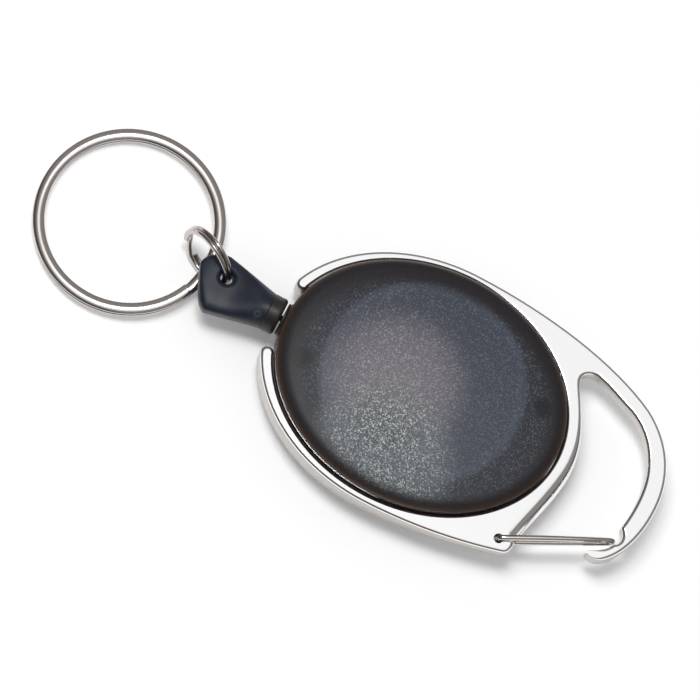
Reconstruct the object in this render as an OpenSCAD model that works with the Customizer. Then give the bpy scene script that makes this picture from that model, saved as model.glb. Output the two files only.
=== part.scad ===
// Retractable badge reel: an oval snap-shut case clamped in a plated carabiner frame.
// A spring drum inside winds a thin cord that ends in a swivelling cap, a small split
// ring and a key ring.  Millimetres, +Z up, origin under the drum axis on the back face.

/* [Case] */
// Length of the oval case
case_len = 39; // [37:0.5:42]
// Width of the oval case
case_wid = 31.5; // [31:0.5:34]
// Thickness of the closed case
case_thick = 9.8; // [9.6:0.1:11]
// Wall of both shells
wall = 1.1; // [0.9:0.05:1.2]
// Straight rim that stands above the frame face
rim_h = 0.9; // [0.5:0.1:1.2]
// Radius that blends the rim into the dome
edge_r = 1.4; // [1:0.1:1.8]
// Width of the flat on the back of the case
back_flat_wid = 23; // [18:0.5:25]
// Diameter of the pins that join the shells
case_pin_d = 1.6; // [1:0.1:1.8]
// Distance of each case pin from the drum axis, along the case
case_pin_x = 15.2; // [15:0.1:15.6]
// Distance of each case pin from the long axis
case_pin_y = 4.4; // [4.2:0.1:4.8]

/* [Frame] */
// Thickness of the hook plate
plate_t = 2.8; // [2.4:0.1:3]
// Thickness of the two arms round the case
arm_t = 4.3; // [3.4:0.1:4.6]
// Width of the arms at the sides of the case
arm_side_w = 1.25; // [1:0.05:1.6]
// Width of the arms at the cord end
arm_end_w = 2; // [1.6:0.1:2.4]
// Opening between the arm tips
cord_gap = 10.6; // [9.6:0.2:12]
// Thickness of the tongue that the shells clamp
tongue_t = 1.2; // [1:0.1:1.4]
// Width of the tongue
tongue_w = 0.9; // [0.6:0.05:1]
// How far the hook reaches past the case
hook_reach = 14.5; // [13.5:0.25:17]
// Width of the hook's bow
bow_w = 2.55; // [2:0.05:3]
// Width of the slope along the inner side of the crescent
slope_w = 1.35; // [0.8:0.05:1.5]
// Depth of that slope
slope_d = 1.1; // [0.6:0.05:1.4]

/* [Gate] */
// Wire of the gate
wire_d = 0.72; // [0.6:0.02:0.8]
// Thickness of the tab that the gate turns in
tab_t = 1.8; // [1.6:0.1:2]
// Distance between the gate's two legs at the closed end
leg_gap = 1.5; // [1.2:0.1:1.8]

/* [Drum] */
// Diameter of the drum flanges
flange_d = 26; // [25:0.25:26.5]
// Thickness of each flange
flange_t = 0.8; // [0.6:0.05:0.9]
// Outer diameter of the hub that the cord winds on
hub_d = 17.4; // [16:0.2:18]
// Wall of the hub
hub_wall = 0.8; // [0.6:0.05:1]
// Width of the cord groove
groove_w = 2.6; // [2:0.1:2.8]
// Diameter of the slotted arbor
arbor_d = 4; // [3.6:0.1:4.4]
// Diameter of the brass axle
axle_d = 1.6; // [1.2:0.1:1.8]
// Thickness of the two plain washers
washer_t = 0.25; // [0.2:0.05:0.3]

/* [Spring] */
// Thickness of the drawn spring strip
strip_t = 0.14; // [0.1:0.01:0.2]
// Turns of the spring
strip_turns = 9; // [6:1:12]

/* [Cord] */
// Diameter of the cord
cord_d = 0.8; // [0.6:0.05:0.9]
// Diameter over the full winding
winding_d = 23.2; // [22:0.2:24]
// Diameter of the flange on the exit eyelet
eyelet_flange_d = 4.4; // [3.6:0.1:4.8]
// Diameter of the eyelet's tube
eyelet_d = 2.6; // [2.2:0.1:3]
// Bore of the eyelet
eyelet_bore = 1.2; // [1.1:0.05:1.5]

/* [End fitting] */
// Diameter of the black ferrule
ferrule_d = 5; // [4.8:0.1:5.6]
// Length of the ferrule
ferrule_len = 1.85; // [1.5:0.05:2.2]
// Diameter of the neck inside the ferrule
neck_d = 3.8; // [3.4:0.1:4]
// Length of the cap past the ferrule
cap_len = 10.5; // [9.9:0.2:11.5]
// Width of the cap at the ferrule
cap_narrow = 4.9; // [4.4:0.1:5]
// Width of the cap at the ring end
cap_wide = 8; // [7.6:0.1:8.6]
// Thickness of the cap at the ring end
cap_t = 2.8; // [2.4:0.1:3]
// Diameter of the ring hole
ring_hole_d = 3; // [2.8:0.1:3.4]

/* [Rings] */
// Outer diameter of the small split ring
small_od = 8.6; // [8.4:0.1:9]
// Radial depth of its wire
small_band = 0.8; // [0.6:0.05:0.9]
// Height of its two turns together
small_h = 1.3; // [1:0.05:1.4]
// Outer diameter of the key ring
key_od = 25; // [24:0.5:30]
// Radial depth of its wire
key_band = 1.6; // [1.2:0.1:1.8]
// Height of its two turns together
key_h = 1.5; // [1.2:0.1:1.6]

/* [Fits] */
// Running clearance between a shaft and its bore, per side
run_gap = 0.05; // [0.03:0.01:0.08]
// Seating clearance between fixed pieces
seat_gap = 0.03; // [0.02:0.01:0.05]

/* [Hidden] */
$fn = 96;
eps = 0.01;

// ---- levels ----
mid_z = case_thick / 2;
face_z = mid_z + plate_t / 2;
plate_z = mid_z - plate_t / 2;
arm_z = face_z - arm_t;
tongue_top = mid_z + tongue_t / 2;
tongue_low = mid_z - tongue_t / 2;

// ---- case ovals, as half length and half width ----
case_a = case_len / 2;
case_b = case_wid / 2;
stretch = case_a / case_b;
spigot_in = 1;
cavity_in = spigot_in + wall - 0.1;
cavity_a = (case_b - cavity_in) * stretch;
rim_top = face_z + rim_h;
shoulder_z = rim_top + edge_r * 0.72;
ceiling_z = case_thick - wall;
shoulder_drop = case_thick - shoulder_z;
back_rim_z = 2.6;
floor_z = wall;
boss_r = case_pin_d / 2 + 0.7;
pin_end = 0.5;
exit_r = eyelet_flange_d / 2 + 0.1;

// ---- drum levels ----
groove_low = mid_z - groove_w / 2;
groove_top = mid_z + groove_w / 2;
drum_floor = floor_z + washer_t + run_gap;
drum_floor_t = 0.5;
lid_top = groove_top + flange_t;
front_boss_r = 3.2;
front_boss_z = lid_top + washer_t + 2 * run_gap;
axle_low = floor_z - 0.6;
axle_top = ceiling_z - 0.5;
hub_r = hub_d / 2;
spring_room = hub_r - hub_wall;
arbor_r = arbor_d / 2;
slot_w = 0.4;

// ---- frame ----
frame_a = case_a + arm_end_w;
frame_b = case_b + arm_side_w;
hole_gap = 0.1;
hook_x = case_a + hook_reach;
hinge = [case_a - 1.8, -case_b + 2.75];
tip = [hook_x - 2.8, -case_b + 9.8];
gate_len = norm(tip - hinge);
gate_turn = atan2(tip.y - hinge.y, tip.x - hinge.x);
gate_open = 28;
sweep_r = 7;
tab_low = face_z - tab_t;
wire_r = wire_d / 2;
pin_hole_r = wire_r + run_gap;
leg_top = face_z + run_gap + wire_r;
leg_low = tab_low - run_gap - wire_r;
tip_z = (leg_top + leg_low) / 2 - 0.25;

// ---- end fitting ----
eyelet_flange_t = 0.3;
exit_x = case_a + 0.05;
eyelet_x = exit_x + eyelet_flange_t;
ferrule_x = eyelet_x + 0.2;
cap_x = ferrule_x + ferrule_len;
cap_end = cap_x + cap_len;
cap_nose = 3.2;
cap_tip_y = 1.3;
ferrule_wall = (ferrule_d - neck_d) / 2 - seat_gap;
ferrule_end_t = 0.4;
knot_x = cap_x + 3;
knot_r = 1.1;
hole_at = [3.9 - cap_end, 1.2];

// ---- rings, placed where they lie with the reel on its back ----
small_turn = 153;
small_lean = 10;
small_mean = (small_od - small_band) / 2;
strand = hole_at;
small_at = strand + small_mean * [cos(small_turn), sin(small_turn)];
small_z = small_od / 2 * cos(small_lean) + small_h / 2 * sin(small_lean);
key_mean = (key_od - key_band) / 2;
key_turn = -2;
key_reach = 3.18;
key_cross = strand + key_reach * [cos(small_turn), sin(small_turn)];
key_at = key_cross - key_mean * [cos(key_turn), sin(key_turn)];
key_tilt = 3.2;
key_z = key_h / 2 * cos(key_tilt) + key_od / 2 * sin(key_tilt);

// ---- general helpers ----
function bezier(a, b, c, d, n) =
    [for (i = [0 : n - 1]) let (t = i / n, s = 1 - t)
        a * s * s * s + b * 3 * s * s * t + c * 3 * s * t * t + d * t * t * t];
function oval(a, b, from, to, n) =
    [for (i = [0 : n - 1]) let (t = from + (to - from) * i / n) [a * cos(t), b * sin(t)]];
function arc(at, r, from, to, n) =
    [for (i = [0 : n]) let (t = from + (to - from) * i / n) at + r * [cos(t), sin(t)]];

// A closed body through a list of rings that have the same number of points
module skin(rings) {
    n = len(rings[0]);
    m = len(rings);
    polyhedron(
        points = [for (ring = rings) each ring],
        faces = concat(
            [[for (i = [0 : n - 1]) i]],
            [for (j = [0 : m - 2]) for (i = [0 : n - 1])
                [j * n + (i + 1) % n, j * n + i, (j + 1) * n + i, (j + 1) * n + (i + 1) % n]],
            [[for (i = [n - 1 : -1 : 0]) (m - 1) * n + i]]));
}

// The case's oval at half width b, and a solid of height h over it
oval_sides = 72;
function oval_at(b) =
    [for (i = [0 : oval_sides - 1]) let (t = 360 * i / oval_sides) [stretch * b * cos(t), b * sin(t)]];

module oval_slab(b, z, h) {
    translate([0, 0, z]) linear_extrude(h) polygon(oval_at(b));
}

module at_pins() {
    for (side = [-1, 1]) translate([side * case_pin_x, side * case_pin_y, 0]) children();
}

module along_cord(from, to, r) {
    translate([-to, 0, mid_z]) rotate([0, 90, 0]) cylinder(r = r, h = to - from);
}

// ---- case ----
function dome(b, top, drop, n) =
    [for (i = [1 : n]) let (t = (i - 1) / (n - 1)) [b * i / n, top - drop * t * t]];
function backward(list) = [for (i = [len(list) - 1 : -1 : 0]) list[i]];

// Half sections of the two shells, from the middle outside round to the middle inside
function front_section() = concat(
    dome(case_b - edge_r, case_thick, shoulder_drop, 5),
    [for (i = [1 : 4]) let (t = 72 - 18 * i)
        [case_b - edge_r + edge_r * cos(t), rim_top + edge_r * 0.757 * sin(t)]],
    [[case_b, mid_z], [case_b - cavity_in, mid_z], [case_b - cavity_in, rim_top - 0.2]],
    backward(dome(case_b - cavity_in - 0.7, ceiling_z, shoulder_drop * 0.8, 4)));

function back_section() = concat(
    [[back_flat_wid / 2, 0]],
    [for (i = [1 : 4]) let (t = 22.5 * i)
        [back_flat_wid / 2 + (case_b - back_flat_wid / 2) * sin(t), back_rim_z * (1 - cos(t))]],
    [[case_b, mid_z], [case_b - cavity_in, mid_z], [case_b - cavity_in, back_rim_z],
     [case_b - cavity_in - 0.6, floor_z + 0.5], [back_flat_wid / 2, floor_z]]);

module oval_shell(section) {
    skin([for (p = section) [for (q = oval_at(p.x)) [q.x, q.y, p.y]]]);
}

// Room for the frame's tongue, left closed beside the cord exit where the tongue stops
module tongue_channel(z, h) {
    difference() {
        oval_slab(case_b + 1, z, h);
        oval_slab(case_b - spigot_in, z - 1, h + 2);
        translate([-case_len, -cord_gap / 2 + 0.5, z - 1]) cube([case_len, cord_gap - 1, h + 2]);
    }
}

// Half of the round boss that holds the eyelet
module exit_boss(z) {
    intersection() {
        along_cord(cavity_a - 0.4, exit_x, exit_r);
        translate([-case_len, -case_wid, z]) cube([case_len, case_wid * 2, case_thick]);
    }
}

module exit_bore() {
    along_cord(cavity_a - 2, exit_x + 1, eyelet_d / 2 + seat_gap);
}

module front_shell() {
    color([0.23, 0.25, 0.31, 0.85]) difference() {
        union() {
            oval_shell(backward(front_section()));
            exit_boss(mid_z);
            at_pins() translate([0, 0, mid_z + seat_gap])
                cylinder(r = boss_r, h = ceiling_z - mid_z - 0.5);
            translate([0, 0, front_boss_z]) cylinder(r = front_boss_r, h = ceiling_z - front_boss_z + 0.1);
        }
        tongue_channel(mid_z - 1, tongue_t / 2 + 1 + seat_gap);
        exit_bore();
        at_pins() translate([0, 0, mid_z - 1])
            cylinder(r = case_pin_d / 2 + seat_gap, h = rim_top - mid_z + 1 - pin_end + seat_gap);
        translate([0, 0, front_boss_z - 1])
            cylinder(r = axle_d / 2 + seat_gap, h = axle_top - front_boss_z + 1 + seat_gap);
    }
}

module back_shell() {
    color([0.2, 0.22, 0.27]) difference() {
        union() {
            oval_shell(back_section());
            exit_boss(mid_z - case_thick);
            at_pins() translate([0, 0, floor_z - 0.1]) cylinder(r = boss_r, h = mid_z - floor_z + 0.1);
        }
        tongue_channel(tongue_low - seat_gap, case_thick);
        exit_bore();
        at_pins() translate([0, 0, floor_z + pin_end - seat_gap])
            cylinder(r = case_pin_d / 2 + seat_gap, h = case_thick);
        translate([0, 0, axle_low - seat_gap]) cylinder(r = axle_d / 2 + seat_gap, h = case_thick);
    }
}

module case_pins() {
    color("dimgray") at_pins() translate([0, 0, floor_z + pin_end])
        cylinder(r = case_pin_d / 2, h = rim_top - floor_z - 2 * pin_end);
}

// ---- frame ----
bow_top = [hook_x - 6.5, frame_b * 0.676];
nose_root = [hook_x - 3.1, -case_b + 6.75];
nose_tip = [hook_x - 5.4, -case_b + 6.45];
corner = [case_a - 0.1, -case_b + 1.6];

function outer_outline() = concat(
    bezier([0, frame_b], [10.5, frame_b], [hook_x - 13.2, frame_b - 1.9], bow_top, 12),
    bezier(bow_top, bow_top + [4.1, -2.5], [hook_x, 5], [hook_x, 0], 10),
    bezier([hook_x, 0], [hook_x, -4.2], nose_root + [1.8, 1.6], nose_root, 10),
    bezier(nose_root, nose_root + [-0.7, -0.6], nose_tip + [0.6, -0.4], nose_tip, 5),
    bezier(nose_tip, nose_tip + [-0.25, 0.2], nose_tip + [-0.2, 0.35], nose_tip + [0.15, 0.45], 3));

function notch_outline() = let (foot = nose_tip + [0.15, 0.45]) concat(
    bezier(foot, foot + [0.9, 0.5], tip + [-0.6, -1.7], tip + [-0.05, -0.65], 6),
    bezier(tip + [-0.05, -0.65], tip + [0.75, -0.2], tip + [0.75, 0.7], tip + [0.15, 1.4], 6),
    [tip + [-0.15, 1.9]]);

function crescent_inner() = let (waist = [case_a + 2.7, -0.5], foot = [case_a + 0.3, -case_b + 3.2])
    concat(
        bezier([case_a - 1.5, 10.3], [case_a + 0.3, 6.9], waist + [0, 4.4], waist, 12),
        bezier(waist, waist + [0, -4.1], foot + [0.5, 3.6], foot, 10));

function crescent_outer() = let (in_x = hook_x - bow_w) concat(
    bezier(tip + [-0.15, 1.9], [in_x + 0.05, -1.5], [in_x + 0.2, 2.2], [in_x - 0.95, 4.7], 8),
    bezier([in_x - 0.95, 4.7], [in_x - 2.25, 7.9], bow_top + [-0.5, -1.9], bow_top + [-2.5, -1.2], 8),
    bezier(bow_top + [-2.5, -1.2], bow_top + [-4.7, -0.4], [case_a + 1.8, 11.9], [case_a + 0.5, 12.1], 6),
    bezier([case_a + 0.5, 12.1], [case_a - 0.3, 12.6], [case_a - 2.4, 12], [case_a - 1.5, 10.3], 8));

// The whole plate from above, before the case hole and the cord gap are cut
module plate_plan() {
    polygon(concat(
        outer_outline(), notch_outline(), crescent_outer(), crescent_inner(),
        bezier([case_a + 0.3, -case_b + 3.2], corner + [0.4, 0.7], corner + [0.3, -0.1],
               corner + [-0.7, -0.3], 5),
        bezier(corner + [-0.7, -0.3], [case_a - 6, -case_b - 0.15], [7, -frame_b], [0, -frame_b], 10),
        oval(frame_a, frame_b, 270, 90, 40)));
}

// The arms are cut off square at the cord gap and end in round tips
module cord_gap_cut() {
    translate([-2 * case_a, -cord_gap / 2, 0]) cube([case_a * 1.5, cord_gap, case_thick]);
}

tip_r = (frame_a - case_a - hole_gap) * 0.48;
tip_x = sqrt(1 - pow(cord_gap / 2 / frame_b, 2)) * frame_a - tip_r - 0.05;

// The round ends of the two arms, either side of the cord
module arm_tips(z, h) {
    for (side = [-1, 1]) translate([-tip_x, side * cord_gap / 2, z]) cylinder(r = tip_r, h = h);
}

// Removes the stock under the hook plate, with a slope where it meets the deeper arms
module plate_under() {
    side = [[4, arm_z - 1], [4, arm_z - eps], [13, plate_z], [hook_x + 1, plate_z], [hook_x + 1, arm_z - 1]];
    rotate([90, 0, 0]) translate([0, 0, -case_wid]) linear_extrude(case_wid * 2) polygon(side);
}

function slope_ring(p, q, w) = let (d = (q - p) / norm(q - p), n = [-d.y, d.x])
    [[p.x - n.x * w, p.y - n.y * w, face_z + eps], [p.x, p.y, face_z - slope_d],
     [p.x + n.x / 2, p.y + n.y / 2, face_z - slope_d], [p.x + n.x / 2, p.y + n.y / 2, face_z + eps]];

// The slope along the case side of the crescent
module crescent_slope() {
    line = concat(crescent_inner(), [[case_a + 0.3, -case_b + 3.2]]);
    last = len(line) - 1;
    ahead = concat([for (i = [1 : last]) line[i]], [line[last] * 2 - line[last - 1]]);
    skin([for (i = [0 : last]) slope_ring(line[i], ahead[i], slope_w * (0.55 + 0.45 * min(1, i / 6)))]);
}

// Room under the plate for the gate's lower leg, closed or pushed in
module leg_recess() {
    side = wire_r + 0.2;
    spread = asin(side / sweep_r);
    translate(hinge) circle(r = 2.4);
    polygon(concat(
        [hinge + side * [cos(gate_turn - 90), sin(gate_turn - 90)]],
        arc(hinge, sweep_r, gate_turn - spread, gate_turn + gate_open + spread, 6),
        [hinge + side * [cos(gate_turn + gate_open + 90), sin(gate_turn + gate_open + 90)]]));
}

module carabiner_frame() {
    color("silver") difference() {
        union() {
            difference() {
                translate([0, 0, arm_z]) linear_extrude(arm_t) plate_plan();
                oval_slab(case_b + hole_gap, arm_z - 1, arm_t + 2);
            }
            difference() {
                oval_slab(case_b + hole_gap + 0.3, tongue_low, tongue_t);
                oval_slab(case_b - tongue_w, tongue_low - 1, tongue_t + 2);
            }
            arm_tips(arm_z, arm_t);
        }
        difference() {
            cord_gap_cut();
            arm_tips(0, case_thick);
        }
        plate_under();
        crescent_slope();
        translate([0, 0, plate_z - 1]) linear_extrude(tab_low - plate_z + 1) leg_recess();
        translate([hinge.x, hinge.y, tab_low - 1]) cylinder(r = pin_hole_r, h = tab_t + 2);
    }
}

// ---- gate ----
// Its centre line lies in one upright plane: reach from the hinge and height
bend = 0.5;
leg_far = gate_len - leg_gap / 2 - wire_r;

// A leg leaves the hinge level and curves to the loop at the tip
function leg_at(t, root, tip) = [leg_far * t, root + (tip - root) * t * t * t];

gate_line = concat(
    [[0, leg_top - bend - 0.2]], arc([bend, leg_top - bend], bend, 180, 90, 4),
    [for (i = [1 : 5]) leg_at(i / 6, leg_top, tip_z + leg_gap / 2)],
    arc([leg_far, tip_z], leg_gap / 2, 90, -90, 8),
    [for (i = [5 : -1 : 1]) leg_at(i / 6, leg_low, tip_z - leg_gap / 2)],
    arc([bend, leg_low + bend], bend, 270, 180, 4), [[0, leg_low + bend + 0.2]]);

leg_r = wire_r - 0.01;

function wire_ring(p, dir) = let (d = dir / norm(dir), up = [-d.y, d.x])
    [for (i = [0 : 11]) let (t = 30 * i)
        [p.x + up.x * leg_r * cos(t), -leg_r * sin(t), p.y + up.y * leg_r * cos(t)]];

module wire_gate() {
    last = len(gate_line) - 1;
    color("silver") translate([hinge.x, hinge.y, 0]) rotate([0, 0, gate_turn]) union() {
        skin([for (i = [0 : last])
            wire_ring(gate_line[i], gate_line[min(i + 1, last)] - gate_line[max(i - 1, 0)])]);
        translate([0, 0, mid_z + 0.35]) cylinder(r = wire_r, h = leg_top - bend - mid_z - 0.35);
        translate([0, 0, leg_low + bend]) cylinder(r = wire_r, h = mid_z + 0.2 - leg_low - bend);
    }
}

// ---- drum ----
module cord_drum() {
    color("gainsboro") difference() {
        union() {
            translate([0, 0, drum_floor]) cylinder(r = hub_r, h = groove_top - drum_floor);
            translate([0, 0, groove_low - flange_t]) cylinder(d = flange_d, h = flange_t);
        }
        translate([0, 0, drum_floor + drum_floor_t]) cylinder(r = spring_room, h = case_thick);
        translate([0, 0, drum_floor - 1]) cylinder(r = arbor_r + run_gap, h = case_thick);
    }
}

module drum_lid() {
    color("whitesmoke") translate([0, 0, groove_top]) difference() {
        cylinder(d = flange_d, h = flange_t);
        translate([0, 0, -1]) cylinder(r = arbor_r + run_gap, h = flange_t + 2);
    }
}

// A flat strip wound in an even spiral from the arbor to the hub wall
module power_spring() {
    inner_r = arbor_r + 0.1;
    growth = (spring_room - 0.1 - strip_t - inner_r) / strip_turns;
    steps = strip_turns * 20;
    function coil(r, i) = let (t = 360 * i / 20) (r + growth * i / 20) * [cos(t), sin(t)];
    low = drum_floor + drum_floor_t + 0.1;
    color("slategray") translate([0, 0, low]) linear_extrude(groove_top - low - 0.1)
        polygon(concat([for (i = [0 : steps]) coil(inner_r + strip_t, i)],
                       [for (i = [steps : -1 : 0]) coil(inner_r, i)]));
}

// Slotted post on the back shell that holds the spring's inner end
module spring_arbor() {
    color("whitesmoke") translate([0, 0, floor_z]) difference() {
        cylinder(r = arbor_r, h = front_boss_z - floor_z - run_gap);
        translate([0, 0, -1]) cylinder(r = axle_d / 2 + seat_gap, h = case_thick);
        translate([axle_d / 2, -slot_w / 2, drum_floor - floor_z + drum_floor_t])
            cube([arbor_d, slot_w, case_thick]);
    }
}

module axle_pin() {
    color("goldenrod") translate([0, 0, axle_low]) cylinder(d = axle_d, h = axle_top - axle_low);
}

module washer(z) {
    color("ivory") translate([0, 0, z]) difference() {
        cylinder(r = arbor_r + 1.6, h = washer_t);
        translate([0, 0, -1]) cylinder(r = arbor_r + run_gap, h = washer_t + 2);
    }
}

module front_washer() {
    washer(lid_top + run_gap);
}

module back_washer() {
    washer(floor_z);
}

// ---- cord ----
winding_turns = 3;

// The full winding, with the crowns of its outer turns
module cord_winding() {
    crown = (groove_w - 0.2) / winding_turns;
    inner = hub_r + seat_gap;
    outer = (winding_d - crown) / 2;
    color("black") translate([0, 0, groove_low + 0.1]) rotate_extrude() union() {
        translate([inner, 0]) square([outer - inner, groove_w - 0.2]);
        for (i = [0 : winding_turns - 1])
            translate([outer, crown * (i + 0.5)]) circle(d = crown, $fn = 24);
    }
}

// The cord leaves the winding at a tangent, meets the eyelet and turns out of the case
run_r = winding_d / 2 + cord_d / 2 + 0.05;
run_in = cavity_a - 0.6;
run_turn = 180 - acos(run_r / run_in);
run_start = run_r * [cos(run_turn), sin(run_turn)];
run_line = concat(
    [run_start], [run_start * 0.5 + [-run_in, 0] * 0.5],
    bezier([-run_in + 0.7, 0.65], [-run_in + 0.25, 0.2], [-run_in - 0.1, 0], [-run_in - 0.7, 0], 4),
    [[-run_in - 0.7, 0], [seat_gap - ferrule_x, 0]]);

function cord_ring(p, dir) = let (d = dir / norm(dir), side = [-d.y, d.x], r = cord_d / 2)
    [for (i = [0 : 7]) let (t = 45 * i)
        [p.x + side.x * r * cos(t), p.y + side.y * r * cos(t), mid_z + r * sin(t)]];

module cord_run() {
    last = len(run_line) - 1;
    color("black") skin([for (i = [0 : last])
        cord_ring(run_line[i], run_line[min(i + 1, last)] - run_line[max(i - 1, 0)])]);
}

module exit_eyelet() {
    color("black") difference() {
        union() {
            along_cord(exit_x, eyelet_x, eyelet_flange_d / 2);
            along_cord(cavity_a - 0.5, exit_x, eyelet_d / 2);
        }
        along_cord(cavity_a - 1, eyelet_x + 1, eyelet_bore / 2);
    }
}

module cord_tail() {
    color("black") along_cord(ferrule_x, knot_x - knot_r * 0.8, cord_d / 2);
}

module end_knot() {
    color("black") translate([-knot_x, 0, mid_z]) difference() {
        union() {
            sphere(r = knot_r, $fn = 32);
            translate([-0.7, 0, 0]) sphere(r = knot_r * 0.8, $fn = 32);
        }
        translate([knot_r * 0.8 - seat_gap, -knot_r, -knot_r]) cube(2 * knot_r);
    }
}

// ---- end fitting ----
module end_ferrule() {
    color([0.1, 0.1, 0.1]) difference() {
        along_cord(ferrule_x, cap_x, ferrule_d / 2);
        along_cord(ferrule_x + ferrule_end_t, cap_x + 1, ferrule_d / 2 - ferrule_wall);
        along_cord(ferrule_x - 1, cap_x, cord_d / 2 + 0.2);
    }
}

// Half section of the cap between two values of y: half height, squareness, which half
function cap_ring(x, low, high, h, square, up) = let (mid = (low + high) / 2, w = (high - low) / 2)
    [for (i = [0 : 12]) let (t = 15 * (up > 0 ? 12 - i : i), c = cos(t), e = 1 - 0.55 * square)
        [-x, mid + w * sign(c) * pow(abs(c), e), mid_z + up * (seat_gap / 2 + h * pow(abs(sin(t)), e))]];

function ease(t) = t * t * (3 - 2 * t);

// The nose is rounder on one side than on the other; s runs from its root to its tip
function nose_high(s) = cap_tip_y + (cap_wide / 2 - cap_tip_y) * sqrt(1 - s * s);
function nose_low(s) = cap_tip_y - (cap_wide / 2 + cap_tip_y) * (1 - pow(s, 1.6));

// The cap is round at the ferrule, flat at the ring, and widens evenly between
module cap_form(up) {
    body = cap_len - cap_nose;
    rings = concat(
        [for (i = [0 : 5])
            let (t = i / 5, s = ease(min(1, t * 1.25)), w = (cap_narrow + (cap_wide - cap_narrow) * t) / 2)
            cap_ring(cap_x + body * t, -w, w, (cap_narrow + (cap_t - cap_narrow) * s) / 2, s, up)],
        [for (i = [1 : 5]) let (t = 16 * i, s = sin(t))
            cap_ring(cap_x + body + cap_nose * s, nose_low(s), nose_high(s),
                cap_t / 2 - 0.5 * (1 - cos(t)), 1, up)]);
    skin(rings);
    intersection() {
        along_cord(ferrule_x + ferrule_end_t + seat_gap, cap_x + 0.2, neck_d / 2);
        translate([-cap_end, -cap_wide, mid_z + up * seat_gap / 2 - (up < 0 ? case_thick : 0)])
            cube([cap_end, cap_wide * 2, case_thick]);
    }
}

module cap_half(up) {
    difference() {
        cap_form(up);
        translate([hole_at.x, hole_at.y, -1]) cylinder(d = ring_hole_d, h = case_thick + 2);
        along_cord(ferrule_x, knot_x, cord_d / 2 + 0.1);
        along_cord(knot_x - knot_r - 0.1, knot_x + knot_r + 0.5, knot_r + 0.15);
    }
}

module end_cap_front() {
    color([0.16, 0.18, 0.24]) cap_half(1);
}

module end_cap_back() {
    color([0.14, 0.16, 0.22]) cap_half(-1);
}

// ---- split rings ----
// Two turns of wire.  The lower turn climbs to the upper level between the two wire ends.
module split_ring(od, band, height, climb_from, climb_to) {
    r = od / 2 - band / 2;
    gap = 0.05;
    half = (height - gap) / 4;
    level = half + gap / 2;
    step = 8;
    function lift(t) = t < 360 + climb_from ? -1 : t > 360 + climb_to ? 1
        : 2 * (t - 360 - climb_from) / (climb_to - climb_from) - 1;
    function section(t) = [for (k = [[-1, 0.6], [-0.6, 1], [0.6, 1], [1, 0.6], [1, -0.6], [0.6, -1],
                                     [-0.6, -1], [-1, -0.6]])
        [(r + k.x * band / 2) * cos(t), (r + k.x * band / 2) * sin(t), level * lift(t) + k.y * half]];
    start = climb_to + 2;
    stop = 720 + climb_from - 2;
    count = round((stop - start) / step);
    skin([for (i = [0 : count]) section(start + (stop - start) * i / count)]);
}

module small_split_ring() {
    color("silver") translate([small_at.x, small_at.y, small_z]) rotate([0, 0, small_turn])
        rotate([90 + small_lean, 0, 0]) split_ring(small_od, small_band, small_h, 20, 60);
}

module key_split_ring() {
    color("silver") translate([key_at.x, key_at.y, key_z]) rotate([0, 0, key_turn])
        rotate([0, -key_tilt, 0]) split_ring(key_od, key_band, key_h, -19, 10);
}

front_shell();
back_shell();
case_pins();
carabiner_frame();
wire_gate();
cord_drum();
drum_lid();
power_spring();
spring_arbor();
axle_pin();
front_washer();
back_washer();
cord_winding();
cord_run();
exit_eyelet();
cord_tail();
end_knot();
end_ferrule();
end_cap_front();
end_cap_back();
small_split_ring();
key_split_ring();
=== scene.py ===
# %% [markdown]
# # A retractable badge reel
# The reel is an oval case of smoked plastic, held in the eye of a plated carabiner frame.
# A cap hangs on the cord at one end, and carries a small split ring and a key ring.
# The imported CAD model is the frame of this scene. Every piece here is made in
# millimetres and turned into metres at the end, and all but the cord ride on a CAD body by name.

# %% Load the frame
import math

import bmesh
import bpy
from mathutils import Matrix, Vector
from mathutils.geometry import interpolate_bezier


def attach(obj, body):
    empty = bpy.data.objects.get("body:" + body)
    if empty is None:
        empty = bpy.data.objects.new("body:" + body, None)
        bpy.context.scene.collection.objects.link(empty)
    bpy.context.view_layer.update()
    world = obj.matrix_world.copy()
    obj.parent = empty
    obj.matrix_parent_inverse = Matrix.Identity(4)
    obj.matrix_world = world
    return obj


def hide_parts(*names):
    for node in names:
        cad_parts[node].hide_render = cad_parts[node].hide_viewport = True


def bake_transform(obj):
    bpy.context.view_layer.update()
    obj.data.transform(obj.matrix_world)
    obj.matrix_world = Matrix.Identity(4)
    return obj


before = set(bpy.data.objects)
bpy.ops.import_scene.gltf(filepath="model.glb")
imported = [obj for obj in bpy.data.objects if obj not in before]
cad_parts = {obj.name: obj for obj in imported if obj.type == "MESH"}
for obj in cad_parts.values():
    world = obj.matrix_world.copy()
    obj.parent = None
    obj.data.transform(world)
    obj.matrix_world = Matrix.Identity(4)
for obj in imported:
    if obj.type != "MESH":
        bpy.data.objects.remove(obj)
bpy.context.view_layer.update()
scene = bpy.context.scene
scene.view_settings.view_transform = "Standard"
MM = 0.001
print("CAD nodes:", len(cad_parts))

# %% [markdown]
# ## The camera
# The reel lies on its back, and a long lens looks down on it from steeply above, with
# the reel turned in the view. The camera's three axes are written out from two
# angles: how high it stands, and how far the reel's length is turned from level.

# %% Camera
STEEP = math.radians(73.7)
TURN = math.radians(27.5)
LENS = 500.0
VIEW_WIDTH = 89.74 * MM

right = Vector((math.cos(TURN), math.sin(TURN) * math.sin(STEEP), math.sin(TURN) * math.cos(STEEP)))
up = Vector((-math.sin(TURN), math.cos(TURN) * math.sin(STEEP), math.cos(TURN) * math.cos(STEEP)))
back = right.cross(up)
aim = Vector((-10.24, 0.49, 4.9)) * MM

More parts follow.
